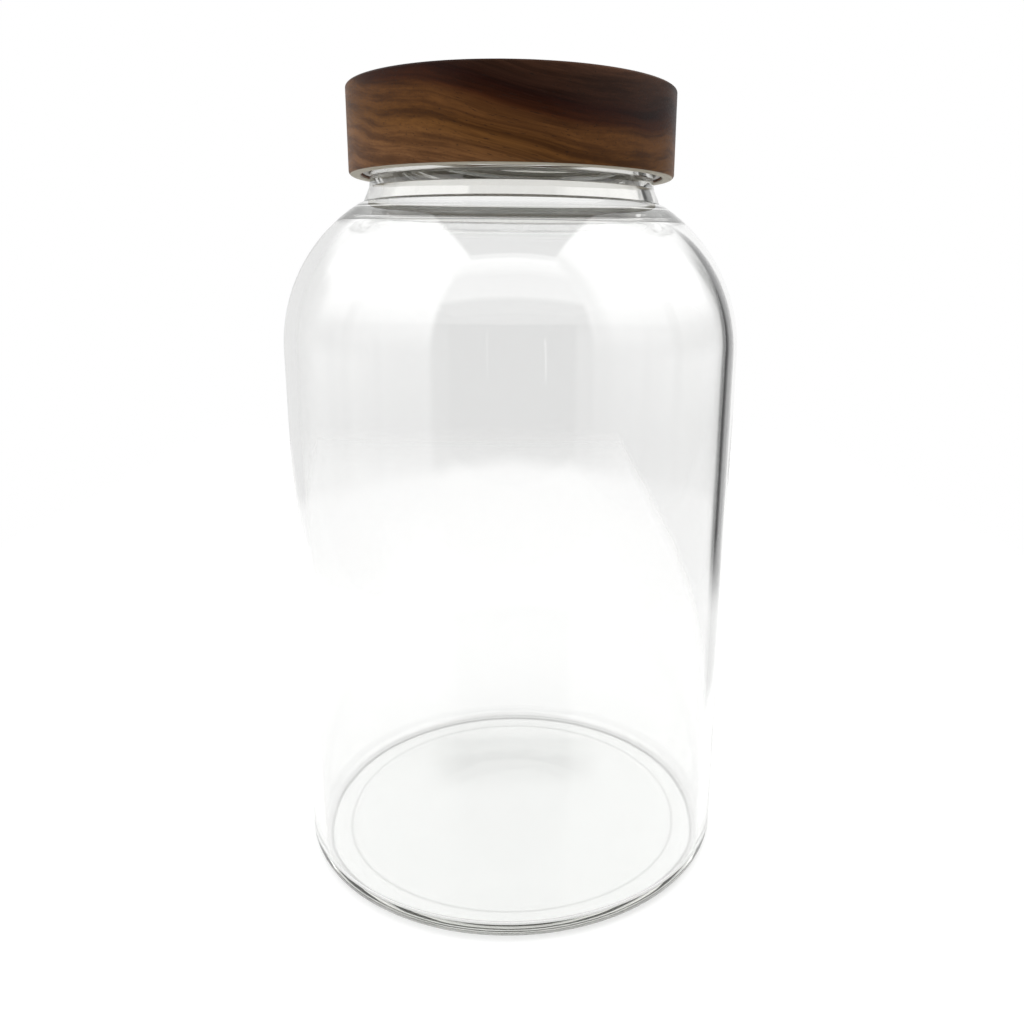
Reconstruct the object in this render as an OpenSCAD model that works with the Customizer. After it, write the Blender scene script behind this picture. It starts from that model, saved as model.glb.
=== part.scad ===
// Screw-top storage jar: a straight-sided glass jar with a round shoulder and a wide neck,
// and a turned wooden lid that holds a threaded plastic insert and a sealing ring.
// Millimetres, +Z up. The origin is the centre of the base, on the surface the jar stands on.

/* [Glass body] */
// Outside diameter of the body
jar_d = 145.4; // [136:0.2:170]
// Height of the glass, from the table to the top of the rim
glass_h = 241; // [225:1:300]
// Thickness of the glass in the walls
wall_t = 3.5; // [2.5:0.1:4.5]
// Thickness of the floor
floor_t = 4.5; // [3.5:0.1:9]
// Outer radius of the base corner
heel_r = 6; // [3:0.1:9]
// Inner radius where the wall meets the floor
floor_r = 2.7; // [1.5:0.1:12]
// Width of the ring that the jar stands on
foot_w = 7.2; // [4:0.1:20]
// Height of the hollow under the base
punt_h = 1.5; // [1:0.1:3]
// Height of the round shoulder
shoulder_h = 44.5; // [35:0.5:60]

/* [Glass neck] */
// Outside diameter of the neck, without its thread
neck_d = 85; // [80:0.2:100]
// Height of the glass above the shoulder
neck_h = 24.5; // [23:0.5:35]
// How far the shoulder's top edge stands out from the neck
ledge_w = 5.3; // [4.5:0.1:7]
// How far the bead under the lid stands out from the neck
bead_w = 3.8; // [2:0.1:4.2]
// How far the groove under the bead stands out from the neck
groove_w = 2.1; // [1.2:0.1:2.6]
// Height of the tapered collar above the bead
collar_h = 10.7; // [8:0.1:14]
// Radius of the bead
bead_r = 0.9; // [0.5:0.05:1.2]
// Radius of the rim's two edges
rim_r = 1.1; // [0.5:0.05:1.5]
// Thickness of the glass at the root of the neck
root_t = 6.5; // [5:0.1:9]
// Radius where the neck's bore meets the underside of the root
throat_r = 6; // [2:0.1:8]
// Radius where the underside of the root meets the inside of the shoulder
root_edge_r = 3; // [1:0.1:4]

/* [Lid] */
// Thickness of the wood around the insert
cap_wall_t = 3.8; // [3:0.1:10]
// Height of the wooden cap
cap_h = 25.2; // [22:0.2:36]
// Thickness of the wood above the insert
crown_t = 5.5; // [4:0.1:8]
// Radius of the cap's top edge
cap_top_r = 0.7; // [0.3:0.05:2]
// Radius of the cap's lower edge
cap_foot_r = 1.3; // [0.3:0.05:2]
// Chamfer around the mouth of the cap's recess
recess_chamfer = 0.6; // [0.2:0.05:1]

/* [Threaded insert] */
// Thickness of the insert's side wall
insert_wall = 1.8; // [1.2:0.1:2.4]
// Thickness of the insert's top
insert_top_t = 1.8; // [1.2:0.1:3]
// Radial room between neck and insert, where the two threads lie
thread_room = 2.3; // [1.8:0.1:3.2]
// How far the insert stops above the wood's lower face
insert_recess = 1; // [0.4:0.1:3]
// Glue line between the insert and the wood
glue_gap = 0.1; // [0.05:0.01:0.2]
// Number of glue grooves around the insert
glue_grooves = 3; // [1:1:4]
// Depth of each glue groove
glue_groove_d = 0.5; // [0.2:0.05:0.8]
// Thickness of the rib that centres the seal
seal_rib_t = 1.6; // [1:0.1:2.5]

/* [Seal] */
// Thickness of the sealing ring
seal_t = 1.5; // [1:0.1:3]
// Radial clearance between the seal and the insert
seal_gap = 0.3; // [0.2:0.05:0.6]
// Radial clearance between the seal's rib and the bore of the neck
rib_gap = 0.6; // [0.4:0.05:1.2]
// Radius of the seal's edges
seal_r = 0.35; // [0.1:0.05:0.4]

/* [Hidden] */

// Facets of the round surfaces, and steps in each small arc of an outline
$fn = 180;
arc_steps = 8;
shoulder_steps = 24;
punt_steps = 10;

glass_c = [0.86, 0.92, 0.91, 0.45];
walnut_c = [0.27, 0.16, 0.1];
insert_c = [0.52, 0.5, 0.46];
seal_c = [0.82, 0.83, 0.83];

// Outside of the glass
jar_r = jar_d / 2;
neck_r = neck_d / 2;
neck_z = glass_h - neck_h;
shoulder_z = neck_z - shoulder_h;
ledge_r = neck_r + ledge_w;
groove_r = neck_r + groove_w;
bead_out_r = neck_r + bead_w;
foot_out_r = jar_r - heel_r;
foot_in_r = foot_out_r - foot_w;

// The shoulder is one arc, upright where it leaves the wall and ending at the ledge
shoulder_in = jar_r - ledge_r;
shoulder_turn = 2 * atan(shoulder_in / shoulder_h);
shoulder_arc_r = shoulder_h / sin(shoulder_turn);
shoulder_c_r = jar_r - shoulder_arc_r;

// The groove's floor, and the bead that rolls out above it
groove_drop = bead_r / 2;
bead_c_z = neck_z + bead_r;
collar_z = neck_z + collar_h;

// Inside of the glass
bore_r = neck_r - wall_t;
inner_r = jar_r - wall_t;
inner_arc_r = shoulder_arc_r - wall_t;

// The thick root of the neck: its underside is level, and blends into the shoulder's inside
root_z = neck_z - root_t;
root_reach = inner_arc_r - root_edge_r;
root_c_z = root_z - root_edge_r;
root_c_r = shoulder_c_r + sqrt(pow(root_reach, 2) - pow(root_c_z - shoulder_z, 2));
root_turn = atan2(root_c_z - shoulder_z, root_c_r - shoulder_c_r);

// The hollow under the base is a shallow dome, and the floor above it rises as much
punt_arc_r = dome_r(foot_in_r, punt_h);
punt_turn = asin(foot_in_r / punt_arc_r);
floor_out_r = inner_r - floor_r;
floor_arc_r = dome_r(floor_out_r, punt_h);
floor_turn = asin(floor_out_r / floor_arc_r);

// Lid, stacked up from the rim of the glass
seal_z = glass_h;
ceiling_z = seal_z + seal_t;
insert_top_z = ceiling_z + insert_top_t;
cap_top_z = insert_top_z + crown_t;
cap_z = cap_top_z - cap_h;
insert_z = cap_z + insert_recess;
insert_in_r = neck_r + thread_room;
insert_out_r = insert_in_r + insert_wall;
recess_r = insert_out_r + glue_gap;
cap_r = recess_r + cap_wall_t;
rib_out_r = bore_r - rib_gap;
rib_in_r = rib_out_r - seal_rib_t;
rib_h = seal_t / 2;
seal_in_r = rib_out_r + seal_gap;
seal_out_r = insert_in_r - seal_gap;
insert_h = insert_top_z - insert_z;
glue_step = insert_h / (glue_grooves + 1);
glue_groove_h = glue_step / 4;
lead_in = insert_wall / 3;

// Points along an arc about (cr, cz), from one angle to another, both ends included
function arc(cr, cz, r, from, to, steps = arc_steps) =
    [for (i = [0 : steps]) let (a = from + (to - from) * i / steps) [cr + r * cos(a), cz + r * sin(a)]];

// Radius of the sphere that a dome of this half width and height is cut from
function dome_r(half_w, h) = (pow(half_w, 2) + pow(h, 2)) / (2 * h);

// Outline of the glass, from the middle of the base around the outside and back down the inside
function glass_outline() = concat(
    arc(0, punt_h - punt_arc_r, punt_arc_r, 90, 90 - punt_turn, punt_steps),
    arc(foot_out_r, heel_r, heel_r, -90, 0),
    arc(shoulder_c_r, shoulder_z, shoulder_arc_r, 0, shoulder_turn, shoulder_steps),
    [[groove_r, neck_z - groove_drop]],
    arc(bead_out_r - bead_r, bead_c_z, bead_r, -90, 25),
    [[neck_r, collar_z]],
    arc(neck_r - rim_r, glass_h - rim_r, rim_r, 0, 90),
    arc(bore_r + rim_r, glass_h - rim_r, rim_r, 90, 180),
    arc(bore_r + throat_r, root_z + throat_r, throat_r, 180, 270),
    arc(root_c_r, root_c_z, root_edge_r, 90, root_turn),
    arc(shoulder_c_r, shoulder_z, inner_arc_r, root_turn, 0, shoulder_steps),
    arc(floor_out_r, floor_t + floor_r, floor_r, 0, -90),
    arc(0, floor_t + punt_h - floor_arc_r, floor_arc_r, 90 - floor_turn, 90, punt_steps)
);

// Outline of the wooden cap: a disc with a deep recess turned into its underside
function cap_outline() = concat(
    [[0, cap_top_z]],
    arc(cap_r - cap_top_r, cap_top_z - cap_top_r, cap_top_r, 90, 0),
    arc(cap_r - cap_foot_r, cap_z + cap_foot_r, cap_foot_r, 0, -90),
    [
        [recess_r + recess_chamfer, cap_z],
        [recess_r, cap_z + recess_chamfer],
        [recess_r, insert_top_z],
        [0, insert_top_z]
    ]
);

// Outline of the insert: a thin cup, mouth down, with a rib inside that centres the seal
insert_outline = [
    [0, insert_top_z],
    [insert_out_r, insert_top_z],
    [insert_out_r, insert_z],
    [insert_in_r + lead_in, insert_z],
    [insert_in_r, insert_z + lead_in],
    [insert_in_r, ceiling_z],
    [rib_out_r, ceiling_z],
    [rib_out_r, ceiling_z - rib_h],
    [rib_in_r, ceiling_z - rib_h],
    [rib_in_r, ceiling_z],
    [0, ceiling_z]
];

// The blown glass: base, wall, shoulder, beaded neck and rim, all one piece
module jar_body() {
    color(glass_c)
        rotate_extrude()
            polygon(glass_outline());
}

// The turned wooden cap
module lid_cap() {
    color(walnut_c)
        rotate_extrude()
            polygon(cap_outline());
}

// One groove around the outside of the insert, which glue fills
module glue_groove(z) {
    translate([insert_out_r - glue_groove_d, z - glue_groove_h / 2])
        square([2 * glue_groove_d, glue_groove_h]);
}

// The moulded insert that is glued into the cap's recess
module thread_insert() {
    color(insert_c)
        rotate_extrude()
            difference() {
                polygon(insert_outline);
                for (i = [1 : glue_grooves])
                    glue_groove(insert_z + i * glue_step);
            }
}

// The sealing ring, pressed between the rim of the glass and the top of the insert
module seal_ring() {
    color(seal_c)
        rotate_extrude()
            polygon(concat(
                arc(seal_out_r - seal_r, ceiling_z - seal_r, seal_r, 90, 0),
                arc(seal_out_r - seal_r, seal_z + seal_r, seal_r, 0, -90),
                arc(seal_in_r + seal_r, seal_z + seal_r, seal_r, -90, -180),
                arc(seal_in_r + seal_r, ceiling_z - seal_r, seal_r, 180, 90)
            ));
}

jar_body();
lid_cap();
thread_insert();
seal_ring();
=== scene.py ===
import math

import bpy
from mathutils import Matrix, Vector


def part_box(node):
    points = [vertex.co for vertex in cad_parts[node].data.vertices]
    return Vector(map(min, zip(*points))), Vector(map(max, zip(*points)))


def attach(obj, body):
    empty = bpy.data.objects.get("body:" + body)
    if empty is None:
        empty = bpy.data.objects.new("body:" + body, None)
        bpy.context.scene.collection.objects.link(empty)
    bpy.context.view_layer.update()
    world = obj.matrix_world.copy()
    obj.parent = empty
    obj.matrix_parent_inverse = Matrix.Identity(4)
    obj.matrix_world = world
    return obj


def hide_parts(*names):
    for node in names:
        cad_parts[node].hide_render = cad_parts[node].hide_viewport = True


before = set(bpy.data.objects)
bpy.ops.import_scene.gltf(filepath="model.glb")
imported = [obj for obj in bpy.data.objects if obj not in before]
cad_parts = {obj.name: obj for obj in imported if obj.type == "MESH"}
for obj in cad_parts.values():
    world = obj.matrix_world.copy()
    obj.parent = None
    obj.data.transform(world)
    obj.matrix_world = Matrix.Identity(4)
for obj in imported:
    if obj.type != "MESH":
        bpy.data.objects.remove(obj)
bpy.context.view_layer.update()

MM = 0.001

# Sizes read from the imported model, in metres
_, glass_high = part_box("jar_body")
cap_low, cap_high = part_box("lid_cap")
insert_low, insert_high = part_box("thread_insert")
seal_low, seal_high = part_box("seal_ring")
JAR_R = glass_high.x
RIM_Z = glass_high.z
CAP_R = cap_high.x
CAP_Z = cap_low.z
CAP_TOP = cap_high.z
INSERT_R = insert_high.x
INSERT_Z = insert_low.z
INSERT_TOP = insert_high.z
SEAL_R = seal_high.x
SEAL_Z = seal_low.z
CEILING_Z = seal_high.z

# Glass, with the sizes that the solid has
WALL = 3.5 * MM
FLOOR_T = 4.5 * MM
HEEL_R = 6 * MM
FLOOR_R = 2.7 * MM
FOOT_W = 7.2 * MM
PUNT_H = 1.5 * MM
SHOULDER_H = 44.5 * MM
NECK_R = 42.5 * MM
NECK_H = 24.5 * MM
LEDGE_W = 5.3 * MM
LEDGE_EDGE_R = 0.9 * MM
GROOVE_W = 2.1 * MM
GROOVE_DROP = 0.45 * MM
GROOVE_EDGE_R = 0.35 * MM
BEAD_W = 4.1 * MM
BEAD_R = 0.5 * MM
COLLAR_W, COLLAR_H = 2.1 * MM, 4.7 * MM
STEP_W, STEP_H = 1.5 * MM, 9 * MM
COLLAR_TOP_H = 11.5 * MM
COLLAR_EDGE_R = 1.5 * MM
COLLAR_BLEND_R = 2.8 * MM
RIM_EDGE_R = 1.1 * MM
ROOT_T = 6.72 * MM
FLARE_W, FLARE_H = 4.4 * MM, 7.3 * MM
FLARE_R = 3 * MM
THROAT_R = 4.4 * MM
ROOT_EDGE_R = 3.5 * MM
BORE_R = NECK_R - WALL
NECK_Z = RIM_Z - NECK_H

# The two-start thread, and the room that each ridge takes
STARTS = 2
LEAD = 10 * MM
PITCH = LEAD / STARTS
THREAD_TURNS = 0.95
THREAD_FADE = math.radians(24)
GLASS_RIDGE_H = 1.45 * MM
GLASS_RIDGE_W = 3.2 * MM
GLASS_RIDGE_Z = RIM_Z - 12.6 * MM
INSERT_RIDGE_H = 1.7 * MM
INSERT_RIDGE_W = 2.2 * MM
INSERT_RIDGE_Z = GLASS_RIDGE_Z - PITCH / 2

# Lid pieces
RECESS_R = 46.7 * MM
CAP_TOP_EDGE_R = 0.7 * MM
CAP_FOOT_EDGE_R = 1.3 * MM
RECESS_CHAMFER = 0.6 * MM
INSERT_IN_R = 44.8 * MM
INSERT_EDGE_R = 0.5 * MM
RIB_OUT_R = BORE_R - 0.6 * MM
RIB_IN_R = RIB_OUT_R - 1.6 * MM
RIB_H = 0.75 * MM
SEAL_IN_R = RIB_OUT_R + 0.3 * MM
SEAL_EDGE_R = 0.35 * MM

# The photograph's camera
CAMERA_BACK = 308.1 * MM
CAMERA_UP = 199.3 * MM
CAMERA_TILT = math.radians(15.106)
CAMERA_ROLL = math.radians(0.543)
CAMERA_YAW = math.radians(2.262)
CAMERA_SENSOR = 36
CAMERA_LENS = 32.4
CAMERA_SHIFT = -0.035


def turns(*degrees):
    """Angles in radians."""
    return tuple(math.radians(d) for d in degrees)


# Brightness of the studio's pieces, which the glass mirrors
WALL_LEVEL = 0.8
WALL_FOOT_LEVEL = 0.55
LAMP_LEVEL = 2.6
DARK_LEVEL = 0.05
FRONT_TOP_LEVEL = 1.3
FRONT_EDGE_LEVEL = 2.0
CEILING_LEVEL = 0.2
LEFT_END_LEVEL = 0.86
RIGHT_END_LEVEL = 1.0
ROOM_LEVEL = 0.8
ROOM_DARK_LEVEL = 0.1
SIDE_GAIN = 0.4
BACK_TOP_LEVEL = 1.4
GAP_LEVEL = 1.3
STAND_LEVEL = 0.4
EDGE_DIM = 0.45

# Their places, as turns from the camera's side, positive to the right:
# low and high, or low, high and softness
FRONT_TURN = turns(38.5, 40.5)
BEHIND_TURN = turns(118, 135)
BESIDE_TURN = turns(78, 122, 8)
EDGE_TURN = turns(38, 49, 5)
GAP_TURN = turns(15.1, 15.8, 0.3)
STAND_TURN = turns(86.5, 90, 0.7)
LEFT_TURN = turns(-176, -112, 6)
RIGHT_TURN = turns(136, 168, 3)
NEAR_START, NEAR_END = turns(117, 129), turns(133, 138)
PAST_TURN = turns(132, 151.5, 1.5)
ARCH_TURN = turns(4.5, 10)

# Heights, as sines of the angle above level
LAMP_RISE = 0.02, 0.55
WALL_FOOT = -0.19, -0.08
BACK_RISE = 0.1, 0.5
SIDE_FADE = -0.1, 0.1
GAP_HEIGHTS = -0.12, 0.25, 0.02
PANEL_FOOT = 0.05
ROOM_TOP = 0.3, 0.5
ROOM_FOOT = -0.365, -0.305
ROOM_FOOT_SHARE = 0.25
TABLE_HEIGHT, TABLE_FALL = -0.206, 0.016
SOFT = 0.012
ARCH_BEND = 2.3
ARCH_STEP = 0.466, 0.470
ARCH_LINE = 0.4645, 0.4675, 0.001
ARCH_FOOT, ARCH_TOP = (0.415, 0.435), (0.485, 0.53)
ARCH_UNDER, ARCH_OVER, ARCH_LINE_SHARE = 0.75, 0.35, 0.85

# Distances ahead or across on a level ceiling one unit up
LEVEL_UP = 0.02
PANEL_TOP = 1.13, 1.18
PANEL_EDGE = 0.60, 0.64
LAMP_START = 0.48, 0.50
OVERHEAD_START = 0.35, 0.38
OVERHEAD_HEIGHT = 0.72
OVERHEAD_HALF, OVERHEAD_TAPER = 0.355, 0.15

# Counts of glass surfaces crossed, halfway between whole numbers
ANY_HIT = 0.5
OUT_OF_WALL = 2.5
OUT_OF_JAR = 3.5

# The floor that shows the shadow
FLOOR_HALF = 0.39
FLOOR_FRONT, FLOOR_BACK = -0.45, 0.9
FLOOR_Z = -0.05 * MM
FLOOR_LIFT = 0.44
FLOOR_END = 0.13
FLOOR_END_SOFT = 20 * MM
FLOOR_END_START = 20 * MM, 80 * MM
SIDE_FADES = 0.7, 0.95
BACK_FADES = 0.6, 0.95
FRONT_FADES = 0.95, 0.8

# Lamps that light the surfaces
KEY_PLACE, KEY_AIM, KEY_SIZE, KEY_POWER = (-0.7, -0.6, 0.55), (0, 0, 0.2), 0.5, 3.0
TOP_PLACE, TOP_AIM, TOP_SIZE, TOP_POWER = (0.2, -0.1, 1.1), (0, 0, 0), 0.7, 2.5

# Light's bounces: in all, mirrored or bent, and through clear surfaces
BOUNCES, GLASS_BOUNCES, CLEAR_BOUNCES = 80, 60, 16

# Zones of the foot that let less light through to the table, from the edge of the foot and from the table
FOOT_RISE = 0.8 * MM, 2 * MM
HEEL_IN, HEEL_OUT, HEEL_SOFT = 0.6 * MM, 1.2 * MM, 0.4 * MM
INNER_HALF, INNER_SOFT = 0.4 * MM, 0.3 * MM
UNDER_RISE = 1.5 * MM, 3 * MM
UNDER_START, UNDER_END, UNDER_SHARE = 1.2 * MM, 2.4 * MM, 0.7

# The walnut's growth layers
SWEEP_W, SWEEP_H = 32 * MM, 8 * MM
PITH_Y, PITH_SIZE = 8 * MM, 520 * MM
WARP_H = 9 * MM
LAYERS_H = 40 * MM
# Heights above the lid's foot over which the underside's painted sheen fades out
UNDERSIDE_SHEEN_RISE = 0.25 * MM, 0.45 * MM

SEGMENTS = 288
ARC_STEP = math.radians(5)


def arc(cr, cz, radius, start, end, steps):
    """Points (r, z) along an arc about (cr, cz), angles in radians, both ends included."""
    turn = (end - start) / steps
    return [(cr + radius * math.cos(start + turn * i), cz + radius * math.sin(start + turn * i))
            for i in range(steps + 1)]


def rounded(corners):
    """An open outline from corners (r, z) or (r, z, radius): each corner with a radius becomes an arc."""
    points = []
    for i, corner in enumerate(corners):
        if len(corner) == 2:
            points.append(corner)
            continue
        r, z, radius = corner
        before, after = corners[i - 1], corners[i + 1]
        ux, uz = before[0] - r, before[1] - z
        vx, vz = after[0] - r, after[1] - z
        lu, lv = math.hypot(ux, uz), math.hypot(vx, vz)
        ux, uz, vx, vz = ux / lu, uz / lu, vx / lv, vz / lv
        half = math.acos(max(-1, min(1, ux * vx + uz * vz))) / 2
        reach = radius / math.tan(half)
        bx, bz = ux + vx, uz + vz
        bl = math.hypot(bx, bz)
        cx = r + bx / bl * radius / math.sin(half)
        cz = z + bz / bl * radius / math.sin(half)
        start = math.atan2(z + uz * reach - cz, r + ux * reach - cx)
        end = math.atan2(z + vz * reach - cz, r + vx * reach - cx)
        turn = (end - start + math.pi) % (2 * math.pi) - math.pi
        steps = max(2, math.ceil(abs(turn) / ARC_STEP))
        points += arc(cx, cz, radius, start, start + turn, steps)
    return points


def divided(points, longest):
    """The same outline with no stretch longer than the given length."""
    out = [points[0]]
    for (r0, z0), (r1, z1) in zip(points, points[1:]):
        steps = max(1, math.ceil(math.hypot(r1 - r0, z1 - z0) / longest))
        out += [(r0 + (r1 - r0) * i / steps, z0 + (z1 - z0) * i / steps) for i in range(1, steps + 1)]
    return out


def lathe(name, outline, shift=None, closed=False, sharp=math.radians(40)):
    """A smooth mesh turned about Z from an outline, with shift(angle, r, z) added to each radius."""
    verts, rings = [], []
    outline = [p for i, p in enumerate(outline) if i == 0 or math.dist(p, outline[i - 1]) > 1e-7]
    for r, z in outline:
        if r < 1e-9:
            rings.append([len(verts)] * SEGMENTS)
            verts.append((0, 0, z))
            continue
        first = len(verts)
        for k in range(SEGMENTS):
            angle = 2 * math.pi * k / SEGMENTS
            radius = r + (shift(angle, r, z) if shift else 0)
            verts.append((radius * math.cos(angle), radius * math.sin(angle), z))
        rings.append(list(range(first, first + SEGMENTS)))
    faces = []
    pairs = list(zip(rings, rings[1:]))
    if closed:
        pairs.append((rings[-1], rings[0]))
    for low, high in pairs:
        for k in range(SEGMENTS):
            n = (k + 1) % SEGMENTS
            ids = [low[k], low[n], high[n], high[k]]
            loop = [v for i, v in enumerate(ids) if v != ids[i - 1]]
            if len(loop) > 2:
                faces.append(loop)
    mesh = bpy.data.meshes.new(name)
    mesh.from_pydata(verts, [], faces)
    mesh.validate()
    mesh.shade_smooth()
    mesh.set_sharp_from_angle(angle=sharp)
    piece = bpy.data.objects.new(name, mesh)
    bpy.context.scene.collection.objects.link(piece)
    return piece


def ridge(angle, z, first_z, height, width):
    """Height of a multi-start helical ridge at this angle and level, with faded ends."""
    best = 0
    span = 2 * math.pi * THREAD_TURNS
    for start in range(STARTS):
        turn = (angle - 2 * math.pi * start / STARTS) % (2 * math.pi)
        if turn > span:
            continue
        off = z - (first_z + LEAD * turn / (2 * math.pi))
        if abs(off) > width / 2:
            continue
        fade = min(1, turn / THREAD_FADE, (span - turn) / THREAD_FADE)
        fade = fade * fade * (3 - 2 * fade)
        best = max(best, fade * height * math.cos(math.pi * off / width) ** 1.5)
    return best


def glass_thread(angle, r, z):
    return ridge(angle, z, GLASS_RIDGE_Z, GLASS_RIDGE_H, GLASS_RIDGE_W) if r > BORE_R + WALL / 2 else 0


def insert_thread(angle, r, z):
    inner = abs(r - INSERT_IN_R) < INSERT_EDGE_R / 4
    return -ridge(angle, z, INSERT_RIDGE_Z, INSERT_RIDGE_H, INSERT_RIDGE_W) if inner else 0


def glass_outline():
    """The glass from the middle of its underside, around the outside and down the inside to the floor."""
    foot_out = JAR_R - HEEL_R
    foot_in = foot_out - FOOT_W
    punt_r = (foot_in ** 2 + PUNT_H ** 2) / (2 * PUNT_H)
    punt_turn = math.asin(foot_in / punt_r)
    ledge_r = NECK_R + LEDGE_W
    shoulder_z = NECK_Z - SHOULDER_H
    shoulder_turn = 2 * math.atan((JAR_R - ledge_r) / SHOULDER_H)
    shoulder_r = SHOULDER_H / math.sin(shoulder_turn)
    shoulder_c = JAR_R - shoulder_r
    inner_r = shoulder_r - WALL
    root_z = NECK_Z - ROOT_T
    root_c_z = root_z - ROOT_EDGE_R
    root_c = shoulder_c + math.sqrt((inner_r - ROOT_EDGE_R) ** 2 - (root_c_z - shoulder_z) ** 2)
    root_turn = math.atan2(root_c_z - shoulder_z, root_c - shoulder_c)
    foot = rounded([(foot_out, 0), (JAR_R, 0, HEEL_R), (JAR_R, shoulder_z)])
    punt = arc(0, PUNT_H - punt_r, punt_r, math.pi / 2, math.pi / 2 - punt_turn, 24)
    punt[0] = (0, PUNT_H)
    outside = punt + foot[:-1]
    outside += arc(shoulder_c, shoulder_z, shoulder_r, 0, shoulder_turn, 48)[:-1]
    neck = rounded([
        (ledge_r + 0.3 * MM, NECK_Z - 0.18 * MM),
        (ledge_r, NECK_Z, LEDGE_EDGE_R / 3),
        (NECK_R + GROOVE_W, NECK_Z - GROOVE_DROP, GROOVE_EDGE_R),
        (NECK_R + GROOVE_W, NECK_Z + 0.1 * MM, GROOVE_EDGE_R / 4),
        (NECK_R + BEAD_W, NECK_Z + 0.1 * MM, BEAD_R),
        (NECK_R + COLLAR_W, NECK_Z + COLLAR_H, COLLAR_EDGE_R),
        (NECK_R + STEP_W, NECK_Z + STEP_H, COLLAR_EDGE_R / 1.5),
        (NECK_R, NECK_Z + COLLAR_TOP_H, COLLAR_BLEND_R),
        (NECK_R, RIM_Z, RIM_EDGE_R),
        (BORE_R, RIM_Z, RIM_EDGE_R),
        (BORE_R, NECK_Z + FLARE_H, FLARE_R),
        (BORE_R + FLARE_W, root_z, THROAT_R),
        (root_c, root_z),
    ])
    inside = arc(root_c, root_c_z, ROOT_EDGE_R, math.pi / 2, root_turn, 8)[1:]
    inside += arc(shoulder_c, shoulder_z, inner_r, root_turn, 0, 48)[1:]
    floor_flat = JAR_R - WALL - FLOOR_R
    inside += arc(floor_flat, FLOOR_T + FLOOR_R, FLOOR_R, 0, -math.pi / 2, 18)
    dome_r = (floor_flat ** 2 + PUNT_H ** 2) / (2 * PUNT_H)
    dome_turn = math.asin(floor_flat / dome_r)
    dome = arc(0, FLOOR_T + PUNT_H - dome_r, dome_r, math.pi / 2 - dome_turn, math.pi / 2, 24)
    dome[-1] = (0, FLOOR_T + PUNT_H)
    inside += dome[1:]
    return outside + neck + inside


def threaded_zone(outline, low, high, step):
    """Divides the stretches of an outline between two levels finely enough to carry a thread."""
    out = [outline[0]]
    for before, after in zip(outline, outline[1:]):
        upright = abs(before[0] - after[0]) < 0.3 * MM and abs(before[1] - after[1]) > step
        inside = min(before[1], after[1]) < high and max(before[1], after[1]) > low
        out += divided([before, after], step)[1:] if upright and inside else [after]
    return out


def make_glass():
    outline = divided(glass_outline(), 5 * MM)
    outline = threaded_zone(outline, GLASS_RIDGE_Z - PITCH, RIM_Z, 0.25 * MM)
    return lathe("jar_glass", outline, glass_thread)


def make_cap():
    outline = rounded([
        (0, CAP_TOP),
        (CAP_R, CAP_TOP, CAP_TOP_EDGE_R),
        (CAP_R, CAP_Z, CAP_FOOT_EDGE_R),
        (RECESS_R + RECESS_CHAMFER, CAP_Z, RECESS_CHAMFER / 3),
        (RECESS_R, CAP_Z + RECESS_CHAMFER, RECESS_CHAMFER / 3),
        (RECESS_R, INSERT_TOP),
        (0, INSERT_TOP),
    ])
    return lathe("lid_walnut", divided(outline, 4 * MM))


def make_insert():
    outline = rounded([
        (0, INSERT_TOP),
        (INSERT_R, INSERT_TOP, INSERT_EDGE_R),
        (INSERT_R, INSERT_Z, INSERT_EDGE_R),
        (INSERT_IN_R, INSERT_Z, INSERT_EDGE_R),
        (INSERT_IN_R, CEILING_Z, INSERT_EDGE_R / 2),
        (RIB_OUT_R, CEILING_Z, INSERT_EDGE_R / 2),
        (RIB_OUT_R, CEILING_Z - RIB_H, INSERT_EDGE_R / 2),
        (RIB_IN_R, CEILING_Z - RIB_H, INSERT_EDGE_R / 2),
        (RIB_IN_R, CEILING_Z, INSERT_EDGE_R / 2),
        (0, CEILING_Z),
    ])
    outline = threaded_zone(divided(outline, 4 * MM), INSERT_Z, CEILING_Z, 0.25 * MM)
    return lathe("lid_insert", outline, insert_thread)


def make_seal():
    outline = rounded([
        (SEAL_R, (SEAL_Z + CEILING_Z) / 2),
        (SEAL_R, CEILING_Z, SEAL_EDGE_R),
        (SEAL_IN_R, CEILING_Z, SEAL_EDGE_R),
        (SEAL_IN_R, SEAL_Z, SEAL_EDGE_R),
        (SEAL_R, SEAL_Z, SEAL_EDGE_R),
        (SEAL_R, (SEAL_Z + CEILING_Z) / 2 - 0.1 * MM),
    ])
    return lathe("seal_silicone", outline, closed=True)


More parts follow.
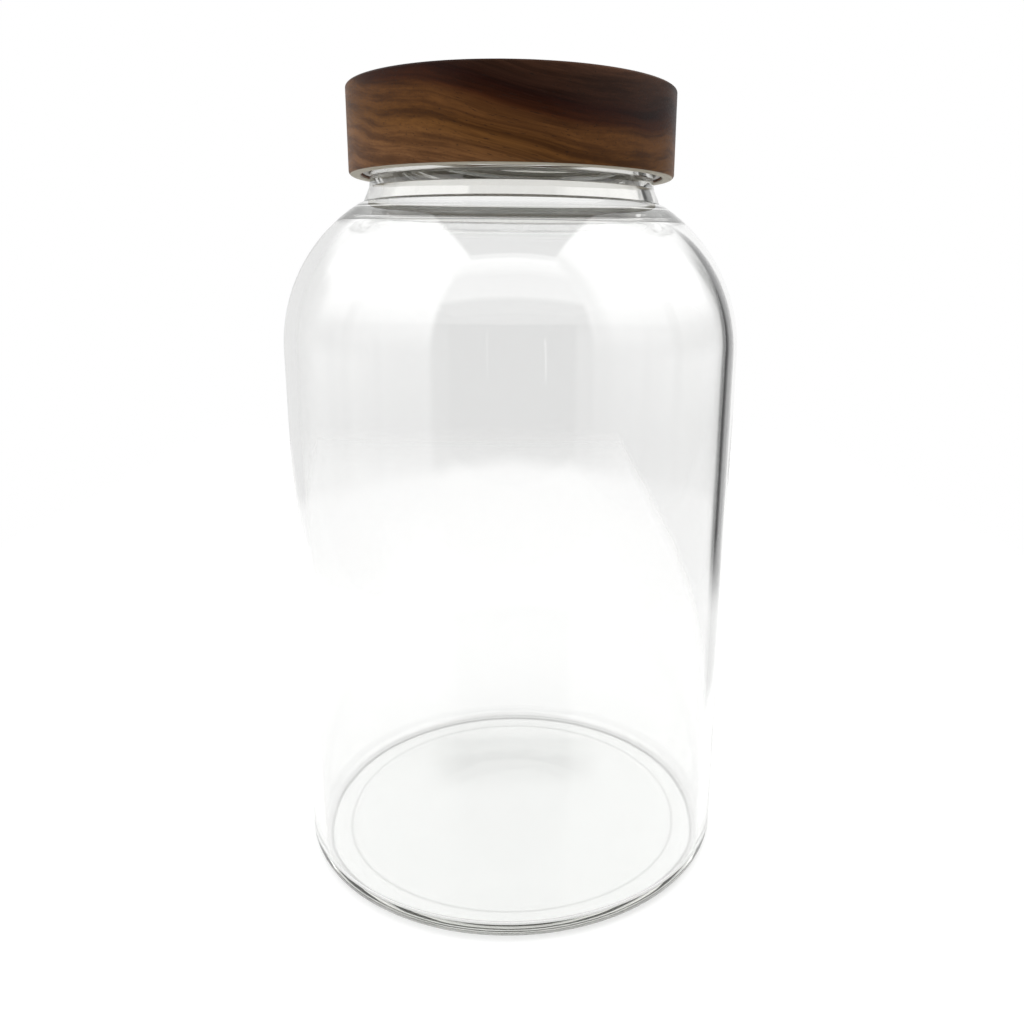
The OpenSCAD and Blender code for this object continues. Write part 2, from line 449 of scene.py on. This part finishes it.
class Tree:
    """Short calls for building a shader: add a node with its inputs set, and link its outputs."""

    def __init__(self, owner):
        owner.use_nodes = True
        self.tree = owner.node_tree
        self.tree.nodes.clear()

    def add(self, kind, inputs=None, **settings):
        made = self.tree.nodes.new(kind)
        for key, value in settings.items():
            setattr(made, key, value)
        for key, value in (inputs or {}).items():
            self.put(made.inputs[key], value)
        return made

    def put(self, socket, value):
        if isinstance(value, bpy.types.NodeSocket):
            self.tree.links.new(value, socket)
        else:
            socket.default_value = value

    def math(self, operation, a, b=0.0, c=0.0):
        made = self.add("ShaderNodeMath", operation=operation)
        for socket, value in zip(made.inputs, (a, b, c)):
            self.put(socket, value)
        return made.outputs[0]

    def ramp(self, value, low, high, out_low=0.0, out_high=1.0, curve="SMOOTHSTEP"):
        made = self.add("ShaderNodeMapRange", interpolation_type=curve)
        for key, item in (("Value", value), ("From Min", low), ("From Max", high),
                          ("To Min", out_low), ("To Max", out_high)):
            self.put(made.inputs[key], item)
        return made.outputs[0]

    def band(self, value, low, high, soft):
        """1 between low and high, fading to 0 over soft on each side."""
        rise = self.ramp(value, low - soft, low + soft)
        fall = self.ramp(value, high - soft, high + soft, 1.0, 0.0)
        return self.math("MULTIPLY", rise, fall)

    def mix(self, factor, a, b):
        """Between two numbers."""
        made = self.add("ShaderNodeMix", data_type="FLOAT")
        self.put(made.inputs[0], factor)
        self.put(made.inputs[2], a)
        self.put(made.inputs[3], b)
        return made.outputs[0]

    def blend(self, factor, a, b, mode="MIX"):
        """Between two colours."""
        made = self.add("ShaderNodeMix", data_type="RGBA", blend_type=mode)
        self.put(made.inputs[0], factor)
        self.put(made.inputs[6], a)
        self.put(made.inputs[7], b)
        return made.outputs[2]

    def noise(self, vector, scale, detail=3.0, rough=0.5, distortion=0.0):
        made = self.add("ShaderNodeTexNoise", noise_dimensions="3D")
        for key, item in (("Vector", vector), ("Scale", scale), ("Detail", detail),
                          ("Roughness", rough), ("Distortion", distortion)):
            self.put(made.inputs[key], item)
        return made.outputs[0]

    def colours(self, value, stops):
        made = self.add("ShaderNodeValToRGB")
        self.put(made.inputs[0], value)
        band = made.color_ramp
        while len(band.elements) < len(stops):
            band.elements.new(1.0)
        for element, (place, colour) in zip(band.elements, stops):
            element.position = place
            element.color = (*colour, 1)
        return made.outputs[0]

    def scaled(self, vector, sizes, turn=(0, 0, 0)):
        made = self.add("ShaderNodeMapping")
        self.put(made.inputs["Vector"], vector)
        self.put(made.inputs["Scale"], sizes)
        self.put(made.inputs["Rotation"], turn)
        return made.outputs[0]

    def bump(self, height, strength, distance, normal=None):
        made = self.add("ShaderNodeBump")
        self.put(made.inputs["Height"], height)
        self.put(made.inputs["Strength"], strength)
        self.put(made.inputs["Distance"], distance)
        if normal is not None:
            self.put(made.inputs["Normal"], normal)
        return made.outputs[0]

    def surface(self, shader, volume=None):
        out = self.add("ShaderNodeOutputMaterial")
        self.put(out.inputs["Surface"], shader)
        if volume is not None:
            self.put(out.inputs["Volume"], volume)


def glass_material():
    """Clear soda-lime glass: slightly wavy, olive where it is deep, and open to the lamps' shadow rays."""
    material = bpy.data.materials.new("clear_glass")
    t = Tree(material)
    where = t.add("ShaderNodeTexCoord").outputs["Object"]
    x, y, z = t.add("ShaderNodeSeparateXYZ", {0: where}).outputs
    waves = t.noise(t.scaled(where, (1.0, 1.0, 0.35)), 34.0, 2.0)
    # The neck's glass has a darker, warmer base colour than the body's
    neck = t.ramp(z, NECK_Z - GROOVE_DROP, NECK_Z + BEAD_R)
    body = t.add("ShaderNodeBsdfPrincipled", {
        "Base Color": t.blend(neck, (0.947, 0.948, 0.946, 1), (0.888, 0.885, 0.868, 1)),
        "Roughness": 0.0,
        "IOR": 1.52,
        "Transmission Weight": 1.0,
        "Normal": t.bump(waves, 0.12, 0.6 * MM),
    })
    # The two edges of the ring that the jar stands on let little light through to the floor
    out = t.math("SQRT", t.math("ADD", t.math("MULTIPLY", x, x), t.math("MULTIPLY", y, y)))
    low = t.ramp(z, *FOOT_RISE, 1.0, 0.0)
    foot = JAR_R - HEEL_R
    foot_in = foot - FOOT_W
    heel = t.math("MULTIPLY", low, t.band(out, foot - HEEL_IN, foot + HEEL_OUT, HEEL_SOFT))
    inner = t.math("MULTIPLY", low, t.band(out, foot_in - INNER_HALF, foot_in + INNER_HALF, INNER_SOFT))
    under = t.math("MULTIPLY", t.ramp(z, *UNDER_RISE, 1.0, 0.0),
                   t.ramp(out, foot + UNDER_START, foot + UNDER_END, 0.0, UNDER_SHARE))
    colour = t.blend(t.math("MAXIMUM", heel, under), (0.95, 0.955, 0.95, 1), (0.2, 0.2, 0.19, 1))
    clear = t.add("ShaderNodeBsdfTransparent", {"Color": t.blend(inner, colour, (0.6, 0.6, 0.59, 1))})
    path = t.add("ShaderNodeLightPath")
    passing = t.math("MAXIMUM", path.outputs["Is Shadow Ray"], path.outputs["Is Diffuse Ray"])
    both = t.add("ShaderNodeMixShader", {0: passing, 1: body.outputs[0], 2: clear.outputs[0]})
    depth = t.add("ShaderNodeVolumeAbsorption", {"Color": (0.60, 0.605, 0.57, 1), "Density": 10.0})
    t.surface(both.outputs[0], depth.outputs[0])
    return material


def walnut_material():
    """Walnut: growth layers that sweep down across the front, a dark heart streak, fibres and pores."""
    material = bpy.data.materials.new("walnut")
    t = Tree(material)
    where = t.add("ShaderNodeTexCoord").outputs["Object"]
    split = t.add("ShaderNodeSeparateXYZ", {0: where}).outputs
    along, across, up = split[0], split[1], split[2]
    height = t.math("SUBTRACT", up, CAP_Z)
    sweep = t.math("MULTIPLY", t.math("TANH", t.math("MULTIPLY", along, 1 / SWEEP_W)), SWEEP_H)
    pith = t.math("POWER", t.math("SUBTRACT", across, PITH_Y), 2.0)
    pith = t.math("MULTIPLY", pith, 1 / PITH_SIZE)
    warp = t.noise(t.scaled(where, (0.35, 1.0, 1.0)), 38.0, 2.0, 0.5)
    warp = t.math("MULTIPLY", t.math("SUBTRACT", warp, 0.5), WARP_H)
    layer = t.math("ADD", t.math("ADD", height, sweep), t.math("ADD", pith, warp))
    zone = t.math("DIVIDE", layer, LAYERS_H)
    colour = t.colours(zone, [
        (0.00, (0.165, 0.076, 0.030)),
        (0.14, (0.165, 0.073, 0.024)),
        (0.24, (0.125, 0.052, 0.013)),
        (0.32, (0.100, 0.039, 0.008)),
        (0.40, (0.115, 0.046, 0.012)),
        (0.46, (0.100, 0.039, 0.010)),
        (0.53, (0.040, 0.010, 0.002)),
        (0.62, (0.016, 0.003, 0.001)),
        (0.70, (0.028, 0.010, 0.005)),
        (0.80, (0.040, 0.016, 0.008)),
        (0.92, (0.080, 0.036, 0.020)),
        (1.00, (0.080, 0.036, 0.020)),
    ])
    fine = t.add("ShaderNodeCombineXYZ", {
        0: t.math("MULTIPLY", along, 6.0),
        1: t.math("MULTIPLY", across, 60.0),
        2: t.math("MULTIPLY", layer, 420.0),
    }).outputs[0]
    rings = t.noise(fine, 1.0, 3.0, 0.6)
    fibre_place = t.add("ShaderNodeCombineXYZ", {
        0: t.math("MULTIPLY", along, 26.0),
        1: t.math("MULTIPLY", across, 900.0),
        2: t.math("MULTIPLY", layer, 1500.0),
    }).outputs[0]
    fibres = t.noise(fibre_place, 1.0, 3.0, 0.6)
    colour = t.blend(t.ramp(rings, 0.35, 0.62, 0.75, 0.0), colour, (0.30, 0.24, 0.19, 1), "MULTIPLY")
    colour = t.blend(t.ramp(fibres, 0.30, 0.70, 0.35, 0.0), colour, (0.45, 0.38, 0.32, 1), "MULTIPLY")
    pore_place = t.add("ShaderNodeCombineXYZ", {
        0: t.math("MULTIPLY", along, 240.0),
        1: t.math("MULTIPLY", across, 2600.0),
        2: t.math("MULTIPLY", layer, 3000.0),
    }).outputs[0]
    pores = t.ramp(t.noise(pore_place, 1.0, 1.0, 0.4), 0.66, 0.74)
    colour = t.blend(t.math("MULTIPLY", pores, 0.6), colour, (0.010, 0.005, 0.003, 1))
    # Painted sheen: the underside is painted pale beige, standing for the grazing reflection of the white
    # surroundings
    colour = t.blend(t.ramp(height, *UNDERSIDE_SHEEN_RISE, 1.0, 0.0), colour, (0.42, 0.38, 0.31, 1))
    relief = t.math("SUBTRACT", t.math("MULTIPLY", fibres, 0.5), pores)
    shader = t.add("ShaderNodeBsdfPrincipled", {
        "Base Color": colour,
        "Roughness": t.ramp(fibres, 0.2, 0.8, 0.40, 0.52),
        "IOR": 1.5,
        "Specular IOR Level": 0.08,
        "Normal": t.bump(relief, 0.35, 0.08 * MM),
    })
    t.surface(shader.outputs[0])
    return material


def insert_material():
    """Natural polypropylene, its base colour darkened to a grey-brown as painted shade for the dim inside
    of the lid, with the faint orange peel of a moulding.
    """
    material = bpy.data.materials.new("polypropylene_painted_shade")
    t = Tree(material)
    where = t.add("ShaderNodeTexCoord").outputs["Object"]
    peel = t.noise(where, 900.0, 2.0)
    cloud = t.noise(where, 60.0, 2.0)
    # Painted shade: the base colour is darker than the plastic's own, standing for the dim light inside
    # the lid
    shader = t.add("ShaderNodeBsdfPrincipled", {
        "Base Color": t.blend(cloud, (0.22, 0.20, 0.17, 1), (0.26, 0.24, 0.21, 1)),
        "Roughness": t.ramp(peel, 0.3, 0.7, 0.34, 0.46),
        "IOR": 1.49,
        "Normal": t.bump(peel, 0.2, 0.05 * MM),
    })
    t.surface(shader.outputs[0])
    return material


def seal_material():
    """Translucent grey-white silicone with a matt skin."""
    material = bpy.data.materials.new("silicone")
    t = Tree(material)
    where = t.add("ShaderNodeTexCoord").outputs["Object"]
    skin = t.noise(where, 1400.0, 2.0)
    cloud = t.noise(where, 90.0, 2.0)
    shader = t.add("ShaderNodeBsdfPrincipled", {
        "Base Color": t.blend(cloud, (0.66, 0.67, 0.67, 1), (0.74, 0.75, 0.75, 1)),
        "Roughness": t.ramp(skin, 0.3, 0.7, 0.50, 0.62),
        "IOR": 1.41,
        "Normal": t.bump(skin, 0.25, 0.03 * MM),
    })
    t.surface(shader.outputs[0])
    return material


def dress(piece, material, body, node):
    piece.data.materials.append(material)
    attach(piece, body)
    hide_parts(node)


def make_world():
    """A white background for straight rays, and the studio for rays that the glass mirrors or bends."""
    world = bpy.data.worlds.new("studio")
    bpy.context.scene.world = world
    t = Tree(world)
    way = t.add("ShaderNodeTexCoord").outputs["Generated"]
    x, y, z = t.add("ShaderNodeSeparateXYZ", {0: way}).outputs
    turn = t.math("ARCTAN2", x, t.math("MULTIPLY", y, -1.0))
    spread = t.math("ABSOLUTE", turn)
    front = t.ramp(spread, *FRONT_TURN, 1.0, 0.0)
    # The side lamps, fading down to the walls of the room, and a dimmer edge beside the panel on the right
    level = t.ramp(z, *LAMP_RISE, t.ramp(z, *WALL_FOOT, WALL_FOOT_LEVEL, WALL_LEVEL), LAMP_LEVEL)
    behind = t.ramp(spread, *BEHIND_TURN)
    level = t.mix(behind, level, t.ramp(z, *BACK_RISE, WALL_LEVEL, BACK_TOP_LEVEL))
    beside = t.band(spread, *BESIDE_TURN)
    beside = t.math("MULTIPLY", beside, t.ramp(z, *SIDE_FADE, SIDE_GAIN, 0.0))
    level = t.math("MULTIPLY", level, t.math("ADD", 1.0, beside))
    edge = t.band(turn, *EDGE_TURN)
    level = t.math("MULTIPLY", level, t.math("SUBTRACT", 1.0, t.math("MULTIPLY", edge, EDGE_DIM)))
    # The dark panel behind the camera with a narrow gap in it, and the lamp above it
    up = t.math("MAXIMUM", z, LEVEL_UP)
    across, ahead = t.math("DIVIDE", x, up), t.math("DIVIDE", t.math("MULTIPLY", y, -1.0), up)
    gap = t.math("MULTIPLY", t.band(turn, *GAP_TURN), t.band(z, *GAP_HEIGHTS))
    middle = t.mix(gap, DARK_LEVEL, GAP_LEVEL)
    middle = t.mix(t.ramp(ahead, *PANEL_TOP, 1.0, 0.0), middle, FRONT_TOP_LEVEL)
    middle = t.mix(t.ramp(ahead, *PANEL_EDGE, 1.0, 0.0), middle, FRONT_EDGE_LEVEL)
    middle = t.mix(t.ramp(ahead, *LAMP_START, 1.0, 0.0), middle, LAMP_LEVEL)
    middle = t.mix(t.math("GREATER_THAN", z, PANEL_FOOT), DARK_LEVEL, middle)
    middle = t.mix(gap, middle, GAP_LEVEL)
    level = t.mix(front, level, middle)
    # The gap between the lamps overhead, wider towards the back
    overhead = t.math("MULTIPLY", t.ramp(ahead, *OVERHEAD_START, 1.0, 0.0),
                      t.math("GREATER_THAN", z, OVERHEAD_HEIGHT))
    wide = t.math("SUBTRACT", OVERHEAD_HALF, t.math("MULTIPLY", ahead, OVERHEAD_TAPER))
    past_gap = t.math("SUBTRACT", t.math("ABSOLUTE", across), wide)
    overhead = t.math("MULTIPLY", overhead, t.ramp(past_gap, -SOFT, SOFT, 1.0, 0.0))
    level = t.mix(overhead, level, CEILING_LEVEL)
    # The stands at the lamps' edges, and the ends of the room behind the jar
    stand = t.band(spread, *STAND_TURN)
    level = t.mix(t.math("MULTIPLY", stand, t.ramp(z, *ROOM_TOP, 0.5, 0.0)), level, STAND_LEVEL)
    low_down = t.ramp(z, *ROOM_TOP, 1.0, 0.0)
    level = t.mix(t.math("MULTIPLY", t.band(turn, *LEFT_TURN), low_down), level, LEFT_END_LEVEL)
    level = t.mix(t.math("MULTIPLY", t.band(turn, *RIGHT_TURN), low_down), level, RIGHT_END_LEVEL)
    # The table all round
    table = t.math("SUBTRACT", TABLE_HEIGHT, t.math("MULTIPLY", spread, TABLE_FALL))
    level = t.mix(t.ramp(t.math("SUBTRACT", z, table), -SOFT, SOFT, 1.0, 0.0), level, 1.0)
    # The dark room past the backdrop's end on the right: one part for rays that the front mirrors, one for
    # rays that the wall bends or mirrors inside
    path = t.add("ShaderNodeLightPath").outputs
    mirrored = t.math("GREATER_THAN", path["Glossy Depth"], ANY_HIT)
    bent = t.math("GREATER_THAN", path["Transmission Depth"], ANY_HIT)
    in_wall = t.math("LESS_THAN", path["Transmission Depth"], OUT_OF_WALL)
    near = t.math("MULTIPLY", t.ramp(turn, *NEAR_START), t.ramp(turn, *NEAR_END, 1.0, 0.0))
    upright = t.math("MULTIPLY", t.ramp(z, *ROOM_FOOT, ROOM_FOOT_SHARE, 1.0), low_down)
    right = t.math("MULTIPLY", t.mix(bent, near, t.band(turn, *PAST_TURN)), upright)
    level = t.mix(t.math("MULTIPLY", right, in_wall), level, ROOM_DARK_LEVEL)
    # An arched dark zone high up behind the jar, for rays that the glass floor mirrors and the back
    # lets out: it stands in for what darkens the back of the base
    aside = t.math("SUBTRACT", math.pi, spread)
    arch = t.math("SUBTRACT", z, t.math("MULTIPLY", t.math("MULTIPLY", aside, aside), ARCH_BEND))
    gloom = t.ramp(arch, *ARCH_STEP, ARCH_UNDER, ARCH_OVER)
    gloom = t.mix(t.band(arch, *ARCH_LINE), gloom, ARCH_LINE_SHARE)
    gloom = t.math("MULTIPLY", gloom, t.ramp(z, *ARCH_TOP, 1.0, 0.0))
    gloom = t.math("MULTIPLY", gloom, t.ramp(z, *ARCH_FOOT))
    gloom = t.math("MULTIPLY", gloom, t.ramp(aside, *ARCH_TURN, 1.0, 0.0))
    left_jar = t.math("GREATER_THAN", path["Transmission Depth"], OUT_OF_JAR)
    level = t.mix(t.math("MULTIPLY", gloom, left_jar), level, ROOM_DARK_LEVEL)
    straight = t.mix(t.math("MULTIPLY", bent, right), 1.0, ROOM_DARK_LEVEL)
    lit = t.mix(path["Is Diffuse Ray"], t.mix(mirrored, straight, level), ROOM_LEVEL)
    light = t.add("ShaderNodeBackground", {"Color": (1, 1, 1, 1), "Strength": lit})
    out = t.add("ShaderNodeOutputWorld")
    t.put(out.inputs["Surface"], light.outputs[0])


def make_floor():
    """White paper that keeps the shadow and fades into the background before its own edges."""
    corners = [(-FLOOR_HALF, FLOOR_FRONT, FLOOR_Z), (FLOOR_HALF, FLOOR_FRONT, FLOOR_Z),
               (FLOOR_HALF, FLOOR_BACK, FLOOR_Z), (-FLOOR_HALF, FLOOR_BACK, FLOOR_Z)]
    mesh = bpy.data.meshes.new("floor")
    mesh.from_pydata(corners, [], [(0, 1, 2, 3)])
    floor = bpy.data.objects.new("floor", mesh)
    bpy.context.scene.collection.objects.link(floor)
    material = bpy.data.materials.new("white_paper")
    t = Tree(material)
    where = t.add("ShaderNodeTexCoord").outputs["Object"]
    x, y, z = t.add("ShaderNodeSeparateXYZ", {0: where}).outputs
    matt = t.add("ShaderNodeBsdfDiffuse", {"Color": (0.7, 0.7, 0.7, 1)})
    path = t.add("ShaderNodeLightPath").outputs
    seen = t.math("SUBTRACT", 1.0, path["Is Diffuse Ray"])
    lift = t.add("ShaderNodeEmission", {"Strength": t.math("MULTIPLY", seen, FLOOR_LIFT)})
    both = t.add("ShaderNodeAddShader", {0: matt.outputs[0], 1: lift.outputs[0]})
    side = t.ramp(t.math("ABSOLUTE", x), *(share * FLOOR_HALF for share in SIDE_FADES))
    far = t.math("MAXIMUM", t.ramp(y, *(share * FLOOR_BACK for share in BACK_FADES)),
                 t.ramp(y, *(share * FLOOR_FRONT for share in FRONT_FADES), 1.0, 0.0))
    # Light bent by the glass sees past the right end of the paper, behind the jar
    bent = t.math("GREATER_THAN", path["Transmission Depth"], ANY_HIT)
    end = t.math("MULTIPLY", bent, t.ramp(x, FLOOR_END, FLOOR_END + FLOOR_END_SOFT))
    end = t.math("MULTIPLY", end, t.ramp(y, *FLOOR_END_START))
    fade = t.math("MAXIMUM", t.math("MAXIMUM", side, far), end)
    gone = t.add("ShaderNodeBsdfTransparent")
    paper = t.add("ShaderNodeMixShader", {0: fade, 1: both.outputs[0], 2: gone.outputs[0]})
    t.surface(paper.outputs[0])
    mesh.materials.append(material)


def area_lamp(name, place, aim, size, power):
    """A soft lamp that lights surfaces but isn't itself seen in the glass."""
    data = bpy.data.lights.new(name, "AREA")
    data.shape = "SQUARE"
    data.size = size
    data.energy = power
    lamp = bpy.data.objects.new(name, data)
    bpy.context.scene.collection.objects.link(lamp)
    lamp.location = place
    way = [a - p for a, p in zip(aim, place)]
    yaw = math.atan2(way[1], way[0])
    pitch = math.atan2(math.hypot(way[0], way[1]), -way[2])
    lamp.rotation_euler = (pitch, 0, yaw - math.pi / 2)
    lamp.visible_camera = False
    lamp.visible_glossy = False
    lamp.visible_transmission = False


def make_camera():
    data = bpy.data.cameras.new("camera")
    data.sensor_width = CAMERA_SENSOR
    data.lens = CAMERA_LENS
    data.shift_x = CAMERA_SHIFT
    data.clip_start = 0.01
    camera = bpy.data.objects.new("camera", data)
    bpy.context.scene.collection.objects.link(camera)
    yaw = Matrix.Rotation(-CAMERA_YAW, 4, "Z")
    tilt = Matrix.Rotation(math.pi / 2 - CAMERA_TILT, 4, "X")
    roll = Matrix.Rotation(CAMERA_ROLL, 4, "Z")
    camera.matrix_world = Matrix.Translation((0, -CAMERA_BACK, CAMERA_UP)) @ yaw @ tilt @ roll
    bpy.context.scene.camera = camera


make_camera()
dress(make_glass(), glass_material(), "jar", "jar_body")
dress(make_cap(), walnut_material(), "lid", "lid_cap")
dress(make_insert(), insert_material(), "lid", "thread_insert")
dress(make_seal(), seal_material(), "seal", "seal_ring")
make_world()
make_floor()
area_lamp("key", KEY_PLACE, KEY_AIM, KEY_SIZE, KEY_POWER)
area_lamp("top", TOP_PLACE, TOP_AIM, TOP_SIZE, TOP_POWER)
bpy.context.scene.view_settings.view_transform = "Standard"
bpy.context.scene.cycles.max_bounces = BOUNCES
bpy.context.scene.cycles.glossy_bounces = GLASS_BOUNCES
bpy.context.scene.cycles.transmission_bounces = GLASS_BOUNCES
bpy.context.scene.cycles.transparent_max_bounces = CLEAR_BOUNCES
